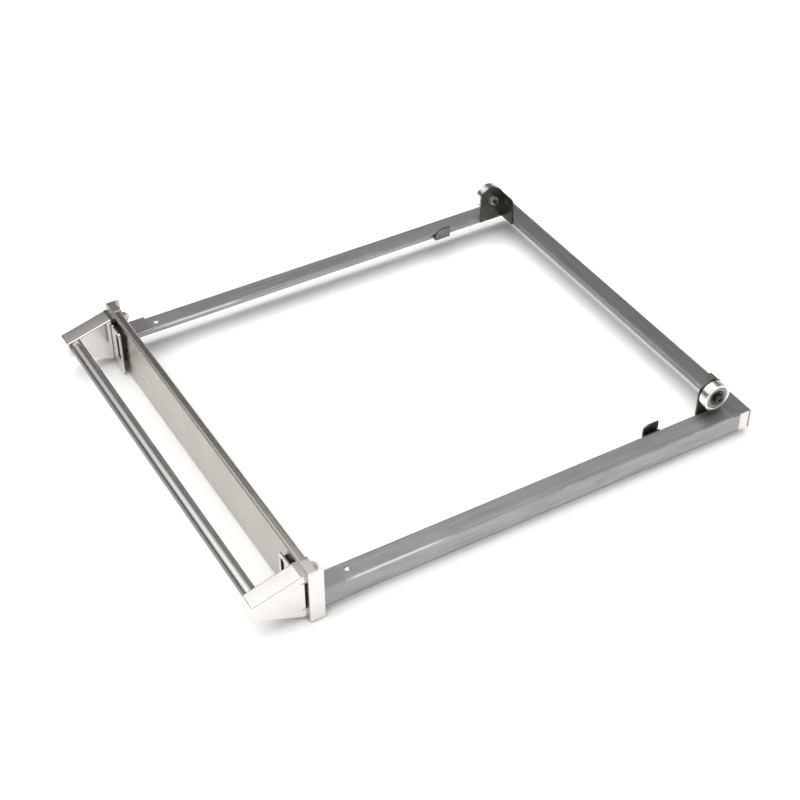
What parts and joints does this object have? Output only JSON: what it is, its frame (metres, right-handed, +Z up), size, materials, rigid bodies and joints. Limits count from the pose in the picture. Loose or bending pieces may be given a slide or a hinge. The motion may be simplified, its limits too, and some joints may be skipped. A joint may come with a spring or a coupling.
{
  "type": "roller drawer frame",
  "caption": "Open rectangular roller drawer frame with steel rails and crossbar, upright front panel, tubular handle between wedge brackets and ball-bearing rollers at the rear corners.",
  "frame": {"origin": "centre of the footprint, on the floor plane under the lowest edge of the front panel", "axes": "+X to the right, +Y from the handle toward the rear rollers, +Z up"},
  "size_m": [0.52, 0.637, 0.0785],
  "materials": {
    "rail_steel": "mill-finish galvanised sheet, drawn streaks",
    "crossbar_steel": "mill-finish galvanised sheet, drawn streaks",
    "bright_tab_steel": "bright finished steel",
    "panel_stainless": "brushed stainless sheet",
    "cap_stainless": "bright stainless sheet",
    "bracket_stainless": "polished stainless sheet",
    "handle_stainless": "polished stainless tube",
    "plug_steel": "turned steel",
    "pad_rubber": "black rubber pad",
    "fastener_zinc": "zinc-plated steel",
    "clip_stainless": "stainless sheet",
    "rivet_aluminium": "aluminium rivet",
    "stop_steel": "plain plated steel",
    "corner_steel": "plain plated steel plate",
    "roller_bright_steel": "bright ground bearing steel",
    "roller_shield_steel": "pressed steel shield",
    "race_steel": "ground bearing steel",
    "ball_steel": "polished bearing balls",
    "cage_steel": "pressed steel cage",
    "axle_zinc": "dark plated steel bolt",
    "spacer_steel": "steel washer"
  },
  "bodies": {
    "frame": {"bracket_bolts": "fastener_zinc", "bracket_nuts": "fastener_zinc", "bracket_pad_left": "pad_rubber", "bracket_pad_right": "pad_rubber", "clip_rivets": "rivet_aluminium", "corner_bracket_left": "corner_steel", "corner_bracket_right": "corner_steel", "corner_rivets": "rivet_aluminium", "crossbar_end_tab_left": "bright_tab_steel", "crossbar_end_tab_right": "bright_tab_steel", "front_clip_left": "clip_stainless", "front_clip_right": "clip_stainless", "front_panel": "panel_stainless", "handle_bracket_left": "bracket_stainless", "handle_bracket_right": "bracket_stainless", "handle_plugs": "plug_steel", "handle_screws": "fastener_zinc", "handle_tube": "handle_stainless", "panel_end_cap_left": "cap_stainless", "panel_end_cap_right": "cap_stainless", "rail_left": "rail_steel", "rail_right": "rail_steel", "rear_crossbar": "crossbar_steel", "roller_bolt_left": "axle_zinc", "roller_bolt_right": "axle_zinc", "roller_inner_race_left": "race_steel", "roller_inner_race_right": "race_steel", "roller_nuts": "fastener_zinc", "roller_spacer_left": "spacer_steel", "roller_spacer_right": "spacer_steel", "stop_rivets": "rivet_aluminium", "stop_tab_left": "stop_steel", "stop_tab_right": "stop_steel"},
    "roller_right": {"roller_rim_right": "roller_bright_steel", "roller_shields_right": "roller_shield_steel"},
    "ball_set_right": {"roller_balls_right": "ball_steel", "roller_cage_right": "cage_steel"},
    "roller_left": {"roller_rim_left": "roller_bright_steel", "roller_shields_left": "roller_shield_steel"},
    "ball_set_left": {"roller_balls_left": "ball_steel", "roller_cage_left": "cage_steel"}
  },
  "joints": [
    {"name": "roller_right_spin", "type": "hinge", "parent": "frame", "child": "roller_right", "pos_m": [0.236, 0.276, 0.061], "axis": [1, 0, 0], "continuous": true},
    {"name": "ball_set_right_spin", "type": "hinge", "parent": "frame", "child": "ball_set_right", "pos_m": [0.236, 0.276, 0.061], "axis": [1, 0, 0], "continuous": true},
    {"name": "roller_left_spin", "type": "hinge", "parent": "frame", "child": "roller_left", "pos_m": [-0.236, 0.276, 0.061], "axis": [1, 0, 0], "continuous": true},
    {"name": "ball_set_left_spin", "type": "hinge", "parent": "frame", "child": "ball_set_left", "pos_m": [-0.236, 0.276, 0.061], "axis": [1, 0, 0], "continuous": true}
  ],
  "couplings": [
    {"joint": "ball_set_right_spin", "follows": "roller_right_spin", "ratio": 0.6217},
    {"joint": "ball_set_left_spin", "follows": "roller_left_spin", "ratio": 0.6217}
  ]
}
